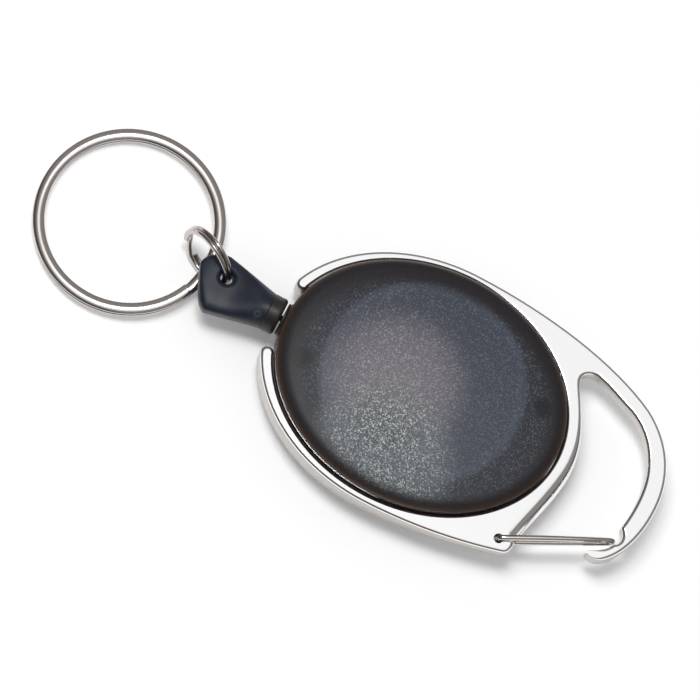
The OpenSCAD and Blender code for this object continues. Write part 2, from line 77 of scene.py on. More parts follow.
lens = bpy.data.cameras.new("long_lens")
lens.lens = LENS
lens.clip_start = 0.01
lens.clip_end = 20
camera = bpy.data.objects.new("camera", lens)
scene.collection.objects.link(camera)
distance = VIEW_WIDTH * LENS / lens.sensor_width
axes = Matrix((right, up, back)).transposed().to_4x4()
camera.matrix_world = Matrix.Translation(aim + back * distance) @ axes
scene.camera = camera
print(f"camera {distance:.2f} m away")


# %% [markdown]
# ## Writing materials as sums
# A shader is a graph, but most of it is arithmetic. `Value` wraps a socket, so that
# `1 - mask * 0.5` adds its own Math nodes. Every other node comes from `Wiring.add`,
# which sets the node's settings first and then its sockets.

# %% Shader helpers
class Value:
    """A socket that takes part in Python sums."""

    def __init__(self, wiring, socket):
        self.wiring = wiring
        self.socket = socket

    def math(self, operation, *values):
        sockets = dict(enumerate(values))
        return self.wiring.value("ShaderNodeMath", {"operation": operation}, sockets)

    def __add__(self, other):
        return self.math("ADD", self, other)

    def __sub__(self, other):
        return self.math("SUBTRACT", self, other)

    def __rsub__(self, other):
        return self.math("SUBTRACT", other, self)

    def __mul__(self, other):
        return self.math("MULTIPLY", self, other)

    def __pow__(self, other):
        return self.math("POWER", self, other)

    __radd__ = __add__
    __rmul__ = __mul__

    def sine(self):
        return self.math("SINE", self)

    def step(self, low, high):
        """0 below low and 1 above high, eased between; low may be the larger."""
        sockets = {"Value": self, "From Min": low, "From Max": high}
        return self.wiring.value("ShaderNodeMapRange", {"interpolation_type": "SMOOTHSTEP"}, sockets)


class Wiring:
    """A node tree that nodes are added to."""

    def __init__(self, tree):
        self.tree = tree
        tree.nodes.clear()

    def add(self, kind, settings=None, sockets=None):
        node = self.tree.nodes.new(kind)
        for key, setting in (settings or {}).items():
            setattr(node, key, setting)
        for key, given in (sockets or {}).items():
            self.put(node, key, given)
        return node

    def put(self, node, key, given):
        if isinstance(key, int):
            socket = node.inputs[key]
        else:
            socket = next(s for s in node.inputs if s.name == key and s.enabled)
        given = given.socket if isinstance(given, Value) else given
        if isinstance(given, bpy.types.NodeSocket):
            self.tree.links.new(given, socket)
        else:
            socket.default_value = given

    def value(self, kind, settings=None, sockets=None, output=None):
        node = self.add(kind, settings, sockets)
        found = [s for s in node.outputs if s.enabled and output in (None, s.name)]
        return Value(self, found[0])

    def blend(self, factor, one, two):
        """A colour between one and two."""
        sockets = {"Factor": factor, "A": one, "B": two}
        return self.value("ShaderNodeMix", {"data_type": "RGBA"}, sockets)


class Finish(Wiring):
    """A material with one Principled shader."""

    def __init__(self, name, **sockets):
        self.material = bpy.data.materials.new(name)
        self.material.use_nodes = True
        super().__init__(self.material.node_tree)
        self.shader = self.add("ShaderNodeBsdfPrincipled")
        self.set(**sockets)
        self.add("ShaderNodeOutputMaterial", None, {"Surface": self.shader.outputs[0]})
        self.place = self.value("ShaderNodeTexCoord", output="Object")

    def set(self, **sockets):
        """Sets shader sockets by name, with _ for a space."""
        for key, given in sockets.items():
            self.put(self.shader, key.replace("_", " "), given)

    def axis(self, letter):
        """One coordinate of the surface, in millimetres."""
        return self.value("ShaderNodeSeparateXYZ", None, {"Vector": self.place}, letter) * 1000.0

    def noise(self, size_mm, detail=2.0):
        """Cloudy noise from 0 to 1, with features of about that size."""
        sockets = {"Vector": self.place, "Scale": 1 / (size_mm * MM), "Detail": detail}
        return self.value("ShaderNodeTexNoise", None, sockets, "Fac")

    def specks(self, size_mm):
        """A random value from 0 to 1 for each grain of about that size."""
        sockets = {"Vector": self.place, "Scale": 1 / (size_mm * MM)}
        cells = self.value("ShaderNodeTexVoronoi", None, sockets, "Color")
        return self.value("ShaderNodeSeparateColor", None, {"Color": cells}, "Red")

    def grain(self, height, depth_mm):
        """Raises the surface by height, a value from 0 to 1, over a depth in millimetres."""
        sockets = {"Height": height, "Distance": depth_mm * MM}
        self.set(Normal=self.value("ShaderNodeBump", None, sockets))


def spot(x, y, at, across):
    """1 at a point of the plan, fading to 0 at a distance, in millimetres."""
    dx = x - at[0]
    dy = y - at[1]
    return (dx * dx + dy * dy).step(across * across, 0.0)


def shade(colour, factor):
    """A colour made lighter or darker by a factor."""
    return tuple(c * factor for c in colour[:3]) + (1,)


# %% [markdown]
# ## The studio
# A pale floor fills the view and takes the reel's shadow. Bright plate shows what
# stands round it, so reflections alone see a room: a white ceiling, a warm grey wall, a
# dark brown skirting, and a darker doorway to one side. The ceiling whitens the flat
# faces, the wall greys the round wires, and the skirting and the doorway draw the dark
# lines along the edges of the plate. A broad lamp up to the left makes the soft shadow
# and stays out of the reflections. A smaller one near the top makes the sheen.

# %% Room and lamps
WHITE = (1, 1, 1, 1)
CEILING = (0.93, 0.93, 0.935, 1)
WALL_GREY = (0.25, 0.232, 0.222, 1)
SKIRTING = (0.085, 0.070, 0.064, 1)
DOORWAY = (0.085, 0.070, 0.062, 1)
ROOM_LIGHT = 0.40
# Heights are sines of the angle above level. Each pair is where an edge starts and ends.
SKIRTING_TOP = (0.16, 0.42)
CEILING_EDGE = (0.89, 0.955)
DOORWAY_TOP = (0.88, 0.72)
DOORWAY_SIDE = (0.15, 0.50)
DOORWAY_EAST = -0.75
DOORWAY_NORTH = -0.66

world = bpy.data.worlds.new("room")
scene.world = world
world.use_nodes = True
room = Wiring(world.node_tree)
rays = room.add("ShaderNodeLightPath")
look = room.value("ShaderNodeTexCoord", output="Generated")
east, north, height = (room.value("ShaderNodeSeparateXYZ", None, {"Vector": look}, axis) for axis in "XYZ")
wall = room.blend(height.step(*SKIRTING_TOP), SKIRTING, WALL_GREY)
doorway = (east * DOORWAY_EAST + north * DOORWAY_NORTH).step(*DOORWAY_SIDE)
wall = room.blend(doorway * height.step(*DOORWAY_TOP), wall, DOORWAY)
reflected = room.blend(height.step(*CEILING_EDGE), wall, CEILING)
soft = room.add("ShaderNodeBackground", None, {"Color": WHITE, "Strength": ROOM_LIGHT})
shine = room.add("ShaderNodeBackground", None, {"Color": reflected, "Strength": 1.0})
plain = room.add("ShaderNodeBackground", None, {"Color": WHITE, "Strength": 1.0})
seen = Value(room, rays.outputs["Is Camera Ray"]) + Value(room, rays.outputs["Is Transmission Ray"])
glossy = room.add("ShaderNodeMixShader", None,
                  {0: rays.outputs["Is Glossy Ray"], 1: soft.outputs[0], 2: shine.outputs[0]})
whole = room.add("ShaderNodeMixShader", None, {0: seen, 1: glossy.outputs[0], 2: plain.outputs[0]})
room.add("ShaderNodeOutputWorld", None, {"Surface": whole.outputs[0]})


def lamp(name, toward, level, across, in_gloss=True):
    """A round lamp a metre away. A level of 1 alone would light a white sheet to white."""
    light = bpy.data.lights.new(name, "AREA")
    light.shape = "DISK"
    light.size = across
    light.energy = level * math.pi * math.pi
    obj = bpy.data.objects.new(name, light)
    scene.collection.objects.link(obj)
    toward = Vector(toward).normalized()
    obj.matrix_world = Matrix.Translation(aim + toward) @ toward.to_track_quat("Z", "Y").to_matrix().to_4x4()
    obj.visible_glossy = in_gloss


lamp("shadow_lamp", (-0.27, 0.12, 0.955), 0.36, 0.36, in_gloss=False)
lamp("sheen_lamp", (-0.07, 0.10, 0.99), 0.24, 0.22)

# %% [markdown]
# The floor is a wide sheet of matt white paper, a hair below the reel so that the two
# never share a plane. Its faint glow is for straight views and reflections.

# %% Floor
FLOOR_WIDE = 3.0
FLOOR_DROP = 0.02
bm = bmesh.new()
bmesh.ops.create_grid(bm, x_segments=2, y_segments=2, size=FLOOR_WIDE / 2)
bmesh.ops.translate(bm, vec=(0, 0, -FLOOR_DROP * MM), verts=bm.verts)
mesh = bpy.data.meshes.new("floor")
bm.to_mesh(mesh)
bm.free()
floor = bpy.data.objects.new("floor", mesh)
scene.collection.objects.link(floor)

paper = Finish("floor_paper", Base_Color=(0.97, 0.97, 0.97, 1), Roughness=0.9, Specular_IOR_Level=0.0)
paper_rays = paper.add("ShaderNodeLightPath")
kinds = ("Camera", "Glossy", "Transmission")
direct = sum(Value(paper, paper_rays.outputs[f"Is {kind} Ray"]) for kind in kinds)
paper.set(Emission_Color=paper.blend(direct, (0, 0, 0, 1), WHITE), Emission_Strength=0.10)
mesh.materials.append(paper.material)

# %% [markdown]
# ## Finishes
# The case is smoked plastic with a fine frosted grain and a few bright flecks. The pale
# drum shows through it as a lighter disc, and the two pins as darker spots. The rim is
# the deepest colour, because there the wall stands on edge with nothing pale behind it.
# A painted sheen in the middle and a paler patch of painted sheen to one side stand for
# the light in the smoke, and there the flecks are brighter, as painted glints.

# %% Smoked plastic
CASE_LONG = 39.0
CASE_WIDE = 31.5
OVAL = CASE_LONG / CASE_WIDE
half_wide = CASE_WIDE / 2
DRUM_R = 13.0
PIN_AT = (15.2, 4.4)
PIN_SPOT_R = 1.8
PAINTED_SHEEN_AT = (-3.4, -1.8)
PAINTED_SHEEN_R = 10.8
PAINTED_PATCH_AT = (-0.6, -11.8)
PAINTED_PATCH_R = 11.0
RIM_AT = (0.6, -0.7)
GRAIN = 0.13


def oval_radius(x, y):
    """How far out a point of the plan is, with the oval case squeezed to a circle."""
    return ((x * x) * (1 / OVAL ** 2) + y * y) ** 0.5


def smoked(name, deep, over_drum, sheen_paint, grain_and_glints):
    """Smoked plastic. One factor sets the painted sheen in the middle and the pale painted patch, and the
    last how much the grain shows, with painted glints.
    """
    finish = Finish(name, IOR=1.43)
    x = finish.axis("X")
    y = finish.axis("Y")
    drum = (x * x + y * y) ** 0.5
    colour = finish.blend(drum.step(DRUM_R + 0.9, DRUM_R - 0.7), deep, over_drum)
    edge = drum.step(DRUM_R - 1.3, DRUM_R - 0.2) * drum.step(DRUM_R + 0.9, DRUM_R)
    colour = finish.blend(edge * 0.5, colour, shade(over_drum, 1.35))
    # Painted light: a sheen in the middle and a paler patch to one side, at fixed places in the plan.
    painted_sheen = spot(x, y, PAINTED_SHEEN_AT, PAINTED_SHEEN_R)
    colour = finish.blend(painted_sheen * sheen_paint, colour, (0.27, 0.235, 0.255, 1))
    painted_patch = spot(x, y, PAINTED_PATCH_AT, PAINTED_PATCH_R)
    colour = finish.blend(painted_patch * sheen_paint, colour, (0.29, 0.32, 0.325, 1))
    grain = finish.specks(GRAIN)
    cloud = finish.noise(0.5, 3.0)
    # The grain shows everywhere, and most in the painted patches, where its bright specks are painted
    # glints.
    grain_glint_weight = painted_patch * 0.78 + painted_sheen * 0.30 + 0.18
    dull = (1 - grain) * 0.75 + (1 - cloud) * 0.35
    colour = finish.blend(dull * grain_glint_weight * grain_and_glints, colour, (0.012, 0.014, 0.02, 1))
    colour = finish.blend(grain.step(0.72, 1.0) * grain_glint_weight * grain_and_glints * 0.8, colour, (0.62, 0.70, 0.70, 1))
    pins = spot(x, y, PIN_AT, PIN_SPOT_R) + spot(x, y, (-PIN_AT[0], -PIN_AT[1]), PIN_SPOT_R)
    colour = finish.blend(pins * 0.75, colour, (0.006, 0.006, 0.008, 1))
    rim = oval_radius(x - RIM_AT[0], y - RIM_AT[1]).step(half_wide - 3.2, half_wide - 1.2)
    colour = finish.blend(rim * 0.95, colour, (0.0165, 0.0145, 0.0165, 1))
    brown = oval_radius(x, y).step(half_wide - 0.75, half_wide - 0.2)
    colour = finish.blend(brown * 0.9, colour, (0.040, 0.021, 0.014, 1))
    finish.set(Base_Color=colour, Roughness=0.42 + grain * 0.10 - rim * 0.12)
    finish.grain(grain * 0.5 + cloud * 0.5, 0.010)
    return finish


smoke_front = smoked("smoked_front", (0.024, 0.026, 0.036, 1), (0.050, 0.058, 0.082, 1), 0.66, 0.90)
smoke_back = smoked("smoked_back", (0.016, 0.018, 0.026, 1), (0.018, 0.021, 0.030, 1), 0.0, 0.50)

# %% [markdown]
# The frame, the gate and the rings are plated. Plate is a metal whose colour is all in
# what it reflects, so the finish is only a tone, a low roughness that wanders a little,
# and marks too fine to see one by one.

# %% Plate
NICKEL = (0.955, 0.952, 0.955, 1)
SCRATCH = 0.25
SCRATCH_DEPTH = 0.0008


def plated(name, tone, rough, drift, wear):
    """Plate of one tone. Its roughness drifts over the surface, and wear makes it uneven."""
    finish = Finish(name, Metallic=1.0)
    cloud = finish.noise(3.0, 3.0)
    fine = finish.noise(SCRATCH)
    finish.set(Base_Color=finish.blend(cloud * 0.5, tone, shade(tone, 0.96)))
    finish.set(Roughness=rough + cloud * drift + fine * wear)
    finish.grain(fine, SCRATCH_DEPTH)
    return finish


def polished_frame():
    """Bright on its faces. The flanks are duller, and greyer with painted shade for the shadowed floor that
    they reflect.
    """
    finish = Finish("frame_plate", Metallic=1.0)
    flank = finish.value("ShaderNodeAttribute", {"attribute_name": "flank"}, output="Fac")
    dull_shaded_flank = flank.step(0.35, 0.75)
    # Painted shade: the flanks' plate is greyer, for the shadowed floor beside the frame.
    tone = finish.blend(finish.noise(1.2, 3.0), (0.44, 0.41, 0.38, 1), (0.58, 0.55, 0.52, 1))
    finish.set(Base_Color=finish.blend(dull_shaded_flank, NICKEL, tone), Roughness=0.08 + dull_shaded_flank * 0.14)
    finish.grain(finish.noise(SCRATCH), SCRATCH_DEPTH)
    return finish


frame_plate = polished_frame()
# Painted shade: the gate's and the rings' tones are darker than the frame's face, to grey their reflections,
# and the small ring's is darkest.
wire_plate = plated("gate_plate", (0.74, 0.705, 0.68, 1), 0.10, 0.05, 0.05)
ring_plate = plated("ring_plate", (0.80, 0.77, 0.75, 1), 0.10, 0.06, 0.05)
shaded_small_plate = plated("small_ring_plate_shaded", (0.60, 0.565, 0.545, 1), 0.13, 0.06, 0.05)

# %% [markdown]
# The cap is dark blue plastic, smoother than the case, with painted light: it is a little
# paler along its thin edge, where light comes through. A faint ring near the collar is
# the mark of a moulding pin. The collar and the eyelet are black and dull. The cord is a
# fine black braid, drawn as two sets of ridges that cross.

# %% Small plastics and the parts inside
MID_Z = 4.9
NUB_AT = (-22.9, -1.5)
NUB_R = 0.55
NUB_INNER_R = 0.32
PLAIT = 14.0


def moulded(name, colour, pale, rough, texture, depth):
    """Plastic between two colours, with a texture of that size and depth in millimetres."""
    finish = Finish(name, IOR=1.48)
    cloud = finish.noise(1.6, 3.0)
    fine = finish.noise(texture)
    finish.set(Base_Color=finish.blend(cloud.step(0.35, 0.75), colour, pale))
    finish.set(Roughness=rough + fine * 0.12)
    finish.grain(fine, depth)
    return finish


def cap_plastic():
    finish = Finish("cap_plastic", IOR=1.40)
    x, y, z = (finish.axis(letter) for letter in "XYZ")
    cloud = finish.noise(2.4, 3.0)
    fine = finish.noise(0.2)
    # Painted light: the cap is paler at its sides, near the parting line, for light through the thin edge.
    edge = ((z - MID_Z) * (z - MID_Z)).step(1.1, 0.05)
    colour = finish.blend(cloud.step(0.3, 0.8), (0.010, 0.013, 0.024, 1), (0.020, 0.026, 0.042, 1))
    colour = finish.blend(edge * 0.55, colour, (0.085, 0.078, 0.076, 1))
    nub = spot(x, y, NUB_AT, NUB_R) - spot(x, y, NUB_AT, NUB_INNER_R)
    colour = finish.blend(nub * 0.5, colour, (0.10, 0.10, 0.11, 1))
    finish.set(Base_Color=colour, Roughness=0.34 + fine * 0.10)
    finish.grain(fine, 0.004)
    return finish


cap_blue = cap_plastic()
collar_black = moulded("collar_black", (0.016, 0.015, 0.014, 1), (0.024, 0.023, 0.021, 1), 0.36, 0.3, 0.004)
drum_white = moulded("drum_white", (0.70, 0.69, 0.66, 1), (0.74, 0.73, 0.70, 1), 0.40, 0.4, 0.004)
spring_blue = plated("spring_blue", (0.30, 0.33, 0.40, 1), 0.24, 0.06, 0.06)
pin_grey = plated("pin_grey", (0.50, 0.49, 0.48, 1), 0.28, 0.06, 0.06)
axle_brass = plated("axle_brass", (0.80, 0.60, 0.30, 1), 0.24, 0.06, 0.06)


def braided(name):
    finish = Finish(name, Roughness=0.8)
    x, y, z = (finish.axis(letter) for letter in "XYZ")
    one = ((x + y * 2.0 + z * 2.0) * PLAIT).sine()
    two = ((x - y * 2.0 - z * 2.0) * PLAIT).sine()
    weave = one * two * 0.5 + 0.5
    finish.set(Base_Color=finish.blend(weave, (0.006, 0.006, 0.007, 1), (0.030, 0.030, 0.033, 1)))
    finish.grain(weave, 0.03)
    return finish


cord_black = braided("cord_braid")


# %% [markdown]
# ## From a bmesh to a piece
# Each piece is shaped in a bmesh, in millimetres. `piece` turns it into metres, marks the
# edges that are to look sharp, gives it its finish and hangs it on its CAD body.

# %% Piece helper
def skins(bm):
    """The closed skins of a bmesh, each a list of faces."""
    left = set(bm.faces)
    while left:
        found = [left.pop()]
        for face in found:
            near = {other for edge in face.edges for other in edge.link_faces} & left
            left -= near
            found += near
        yield found


def point_outward(bm):
    """Turns the faces of each closed skin outward."""
    bmesh.ops.recalc_face_normals(bm, faces=bm.faces)
    for skin in list(skins(bm)):
        centre = skin[0].verts[0].co.copy()
        bulk = sum((face.calc_center_median() - centre).dot(face.normal) * face.calc_area() for face in skin)
        if bulk < 0:
            bmesh.ops.reverse_faces(bm, faces=skin)


def in_metres(bm):
    bmesh.ops.scale(bm, vec=(MM, MM, MM), verts=bm.verts)
    bmesh.ops.remove_doubles(bm, verts=bm.verts, dist=1e-7)
    bm.normal_update()
    point_outward(bm)
    for face in bm.faces:
        face.smooth = True


def crease(bm, sharp, level_faces=False):
    """Marks the edges that look sharp, and those round a level face too if it is to shade flat."""
    bm.normal_update()
    for edge in bm.edges:
        level = [level_faces and abs(face.normal.z) > 0.9999 for face in edge.link_faces]
        edge.smooth = edge.calc_face_angle(0.0) < math.radians(sharp) and all(level) == any(level)


def piece(name, bm, finish, body, nodes, sharp=35.0):
    in_metres(bm)
    crease(bm, sharp)
    mesh = bpy.data.meshes.new(name)
    bm.to_mesh(mesh)
    bm.free()
    mesh.materials.append(finish.material)
    obj = bpy.data.objects.new(name, mesh)
    scene.collection.objects.link(obj)
    if body:
        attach(obj, body)
    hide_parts(*nodes)
    print(f"{name}: {len(mesh.polygons)} faces")
    return obj


def rotate(bm, degrees, axis, centre=(0, 0, 0)):
    """Turns a bmesh about a line through a point."""
    turn = Matrix.Rotation(math.radians(degrees), 3, axis)
    bmesh.ops.rotate(bm, cent=centre, matrix=turn, verts=bm.verts)


def line_of(bm, points):
    """Joins points with edges and gives the vertices and edges back."""
    verts = [bm.verts.new(p) for p in points]
    return verts + [bm.edges.new(pair) for pair in zip(verts, verts[1:])]


def loop_of(bm, points):
    """Joins points with a closed loop of edges, and gives the vertices and the edges back."""
    verts = [bm.verts.new(p) for p in points]
    return verts, [bm.edges.new(pair) for pair in zip(verts, verts[1:] + verts[:1])]


def turned(bm, points, axis, steps, centre=(0, 0, 0)):
    """Turns a line of points once round an axis into a skin."""
    geom = line_of(bm, points)
    bmesh.ops.spin(bm, geom=geom, cent=centre, axis=axis, steps=steps, angle=2 * math.pi, use_merge=True)


def add_half_ring(bm, line, half_angle, steps, side):
    """Adds half a ring round the cord, from a closed section of (x, radius) points.

    The half angle falls a little short of 90 degrees, so that two halves stay apart.
    """
    ring = bmesh.new()
    verts = [ring.verts.new((x, 0, MID_Z + r)) for x, r in line]
    face = ring.faces.new(verts)
    rotate(ring, half_angle, "X", (0, 0, MID_Z))
    bmesh.ops.spin(ring, geom=[face] + list(face.edges) + verts, cent=(0, 0, MID_Z),
                   axis=(-side, 0, 0), steps=steps, angle=math.radians(2 * half_angle))
    mesh = bpy.data.meshes.new("half_ring")
    ring.to_mesh(mesh)
    ring.free()
    bm.from_mesh(mesh)
    bpy.data.meshes.remove(mesh)


# %% [markdown]
# A hole is cut as on the bench: a tool of the hole's shape takes its place, and the piece
# keeps what is left. The cut makes new edges, so the sharp ones are marked again.

# %% Cutting
def cut(obj, tools, sharp, level_faces=False):
    """Cuts shapes out of a piece and keeps the result as its mesh. A tool is a name and a maker."""
    made = []
    for name, make in tools:
        bm = bmesh.new()
        make(bm)
        in_metres(bm)
        mesh = bpy.data.meshes.new(name)
        bm.to_mesh(mesh)
        bm.free()
        tool = bpy.data.objects.new(name, mesh)
        scene.collection.objects.link(tool)
        change = obj.modifiers.new(name, "BOOLEAN")
        change.operation = "DIFFERENCE"
        change.solver = "EXACT"
        # A piece may be two closed bodies that overlap, as a half of the cap and its neck.
        change.use_self = True
        change.object = tool
        made.append(tool)
    shaped = bpy.data.meshes.new_from_object(obj.evaluated_get(bpy.context.evaluated_depsgraph_get()))
    obj.modifiers.clear()
    bm = bmesh.new()
    bm.from_mesh(shaped)
    crease(bm, sharp, level_faces)
    bm.to_mesh(shaped)
    bm.free()
    obj.data = shaped
    for tool in made:
        bpy.data.objects.remove(tool)


# %% [markdown]
# ## The case
# Both shells are turned like a bowl on a lathe and then stretched into an oval. The half
# section runs from the middle of the outside, over the rim, to the middle of the inside,
# so each shell is a closed wall.

# %% Case sections
RIM_TOP = 7.2
CASE_TOP = 9.8
WALL = 1.1
SIDE_WALL = 2.0
DOME_R = 14.3
DOME_DROP = 1.45
DOME_STEPS = 28
FLAT_R = 11.5
BELLY_TOP = 2.6
SEAM = 0.02
SEAM_EDGE = 0.12
inner_r = half_wide - SIDE_WALL


def curve(a, b, c, d, count):
    """Points along a Bezier curve with handles b and c."""
    points = interpolate_bezier(*(Vector(p).to_3d() for p in (a, b, c, d)), count)
    return [tuple(p) for p in points]


def section(points):
    """Section points, given as distance from the axis and height, in the XZ plane."""
    return [(p[0], 0.0, p[1]) for p in points]


def seam(side):
    """The outer corner of a shell's rim, a hair from the other shell, and the way in to the inside."""
    level = MID_Z + side * SEAM
    return [(half_wide, level + side * SEAM_EDGE), (half_wide - SEAM_EDGE, level), (inner_r, level)]


dome = [(DOME_R * i / DOME_STEPS, CASE_TOP - DOME_DROP * (i / DOME_STEPS) ** 2)
        for i in range(DOME_STEPS + 1)]
shoulder = curve(dome[-1], (15.05, 8.2), (half_wide, 7.78), (half_wide, RIM_TOP), 12)
front_line = dome + shoulder[1:] + seam(1)
front_line += [(inner_r, RIM_TOP - 0.2), (inner_r - 0.7, 7.6), (6.0, CASE_TOP - WALL - 0.1)]
front_line += [(0.0, CASE_TOP - WALL)]

belly = curve((FLAT_R, 0.0), (14.2, 0.0), (half_wide, 1.2), (half_wide, BELLY_TOP), 14)
back_line = [(0.0, 0.0), (4.0, 0.0), (8.0, 0.0)] + belly + seam(-1)
back_line += [(inner_r, BELLY_TOP), (inner_r - 0.6, 1.6), (FLAT_R, WALL), (0.0, WALL)]

# %% [markdown]
# Where the cord leaves, each shell has half of a short tube, which holds the eyelet.

# %% Turn the shells
LATHE_STEPS = 144
EXIT_X = 19.55
TUBE_END = -17.4
BOSS_R = 2.3
EYELET_TUBE_R = 1.3
bore_r = EYELET_TUBE_R + 0.05
tube_line = [(-EXIT_X, bore_r), (-EXIT_X, BOSS_R - 0.12), (-EXIT_X + 0.12, BOSS_R), (TUBE_END, BOSS_R),
             (TUBE_END, bore_r)]


def shell(name, line, finish, node, side):
    bm = bmesh.new()
    turned(bm, section(line), (0, 0, 1), LATHE_STEPS)
    bmesh.ops.scale(bm, vec=(OVAL, 1, 1), verts=bm.verts)
    bmesh.ops.remove_doubles(bm, verts=bm.verts, dist=1e-4)
    add_half_ring(bm, tube_line, 89.6, 24, side)
    piece(name, bm, finish, "casing", [node])


shell("case_front", front_line, smoke_front, "front_shell", 1)
shell("case_back", back_line, smoke_back, "back_shell", -1)

# %% [markdown]
# ## The carabiner frame
# The frame is one flat plate, cast and plated: two arms round the case, a crescent and a
# hook. Its outline is a chain of Bezier curves, with ovals along the case and round tips
# where the arms end beside the cord.

# %% Frame outline
FACE_Z = 6.3
ARM_T = 4.3
arm_low = FACE_Z - ARM_T
PLATE_Z = 3.5
FRAME_LONG = 21.5
FRAME_WIDE = 17.0
HOLE_R = half_wide + 0.1
GAP = 5.3
TIP_R = 0.912


def oval_line(a, b, start, stop, count):
    """Points on an oval between two angles in degrees."""
    turns = [math.radians(start + (stop - start) * i / count) for i in range(count + 1)]
    return [(a * math.cos(t), b * math.sin(t), 0.0) for t in turns]


tip_x = -math.sqrt(1 - (GAP / FRAME_WIDE) ** 2) * FRAME_LONG + TIP_R + 0.05
outer_end = math.degrees(math.asin(GAP / FRAME_WIDE))
inner_end = math.degrees(math.asin(GAP / HOLE_R))
hook_runs = [
    ((0, 17), (10.5, 17), (20.8, 15.1), (27.5, 11.49), 16),
    ((27.5, 11.49), (31.6, 8.99), (34, 5), (34, 0), 14),
    ((34, 0), (34, -4.2), (32.7, -7.4), (30.9, -9), 14),
    ((30.9, -9), (30.2, -9.6), (29.2, -9.7), (28.6, -9.3), 8),
    ((28.6, -9.3), (28.35, -9.1), (28.4, -8.95), (28.75, -8.85), 5),
    ((28.75, -8.85), (29.65, -8.35), (30.6, -7.65), (31.15, -6.6), 8),
    ((31.15, -6.6), (31.95, -6.15), (31.95, -5.25), (31.35, -4.55), 8),
    ((31.35, -4.55), (31.2, -4.4), (31.1, -4.25), (31.05, -4.05), 3),
    ((31.05, -4.05), (31.5, -1.5), (31.65, 2.2), (30.5, 4.7), 12),
    ((30.5, 4.7), (29.2, 7.9), (27, 9.59), (25, 10.29), 12),
    ((25, 10.29), (22.8, 11.09), (21.3, 11.9), (20, 12.1), 9),
    ((20, 12.1), (19.2, 12.6), (17.1, 12), (18, 10.3), 12),
]
slope_runs = [
    ((18, 10.3), (19.8, 6.9), (22.2, 3.9), (22.2, -0.5), 18),
    ((22.2, -0.5), (22.2, -4.6), (20.3, -8.95), (19.8, -12.55), 16),
]
arm_runs = [
    ((19.8, -12.55), (19.8, -13.45), (19.7, -14.25), (18.7, -14.45), 7),
    ((18.7, -14.45), (13.5, -15.9), (7, -17), (0, -17), 16),
]


def chain(runs):
    """One line of points along Bezier runs, without the last point."""
    return [p for *ends, count in runs for p in curve(*ends, count + 1)[:-1]]


def tip_line(y, start):
    """The round tip of an arm: a half circle from an angle in degrees."""
    turns = [math.radians(start - 16 * i) for i in range(11)]
    return [(tip_x + TIP_R * math.cos(t), y + TIP_R * math.sin(t), 0.0) for t in turns]


hook_line = chain(hook_runs)
slope_line = chain(slope_runs)
outline = hook_line + slope_line + chain(arm_runs)
outline += oval_line(FRAME_LONG, FRAME_WIDE, 270, 180 + outer_end + 1.0, 24)
outline += tip_line(-GAP, 170)
outline += oval_line(HOLE_R * OVAL, HOLE_R, -180 + inner_end + 1.0, 180 - inner_end - 1.0, 110)
outline += tip_line(GAP, -10)
outline += oval_line(FRAME_LONG, FRAME_WIDE, 180 - outer_end - 1.0, 90, 24)[:-1]
print("outline points:", len(outline))

# %% [markdown]
# The outline is filled and extruded. Both faces are then inset in small steps that roll
# the edges over, as the tumbling before plating does.

# %% Frame body
ROLL = 0.42
ROLL_STEPS = 6


def rolled_face(bm, face):
    """Insets a face in steps that follow a quarter circle, and gives back the loops of vertices.

    Each inset moves the face's own vertices inward and leaves new ones behind at the rim.
    """
    loops = []
    gone_in, gone_up = 0.0, 0.0
    for i in range(1, ROLL_STEPS + 1):
        t = math.radians(90 * i / ROLL_STEPS)
        across, rise = ROLL * (1 - math.cos(t)), ROLL * math.sin(t)
        bmesh.ops.inset_region(bm, faces=[face], thickness=across - gone_in, depth=rise - gone_up,
                               use_even_offset=True, use_boundary=True)
        gone_in, gone_up = across, rise
        rim = set(face.edges)
        behind = [next(e.other_vert(v) for e in v.link_edges if e not in rim) for v in face.verts]
        loops.append(behind)
    return loops + [list(face.verts)]


def off_line(point, line):
    """The shortest way in plan from a line of points to a point."""
    ways = []
    for one, two in zip(line, line[1:]):
        start = Vector(one[:2])
        along = Vector(two[:2]) - start
        t = min(1, max(0, (point - start).dot(along) / along.length_squared))
        ways.append(point - (start + along * t))
    return min(ways, key=lambda way: way.length)


def share(value, low, high):
    """0 at low and 1 at high, eased."""
    t = min(1.0, max(0.0, (value - low) / (high - low)))
    return t * t * (3 - 2 * t)


bm = bmesh.new()
flank = bm.verts.layers.float.new("flank")
# The outline runs clockwise, so this face looks down.
base = bm.faces.new([bm.verts.new((x, y, arm_low + ROLL)) for x, y, _ in outline])
bm.normal_update()
raised = bmesh.ops.extrude_face_region(bm, geom=[base])
top_verts = [v for v in raised["geom"] if isinstance(v, bmesh.types.BMVert)]
top = next(f for f in raised["geom"] if isinstance(f, bmesh.types.BMFace))
bmesh.ops.translate(bm, vec=(0, 0, ARM_T - 2 * ROLL), verts=top_verts)
bm.normal_update()
top_loops = rolled_face(bm, top)
bm.normal_update()
low_loops = rolled_face(bm, base)
for vert in top_loops[0] + low_loops[0]:
    vert[flank] = 1.0
widest = max((a.co.xy - b.co.xy).length for a, b in zip(top_loops[0], top_loops[-1]))
print(f"widest roll {widest:.2f} mm")

# %% [markdown]
# The roll is a full quarter circle only where the edge has room for it. It is small at the
# hook's nose. Along the case the arms have a fine step instead: a short fall, then a
# narrow ledge. Both are set here as profiles, each a list of how far in and how far down.

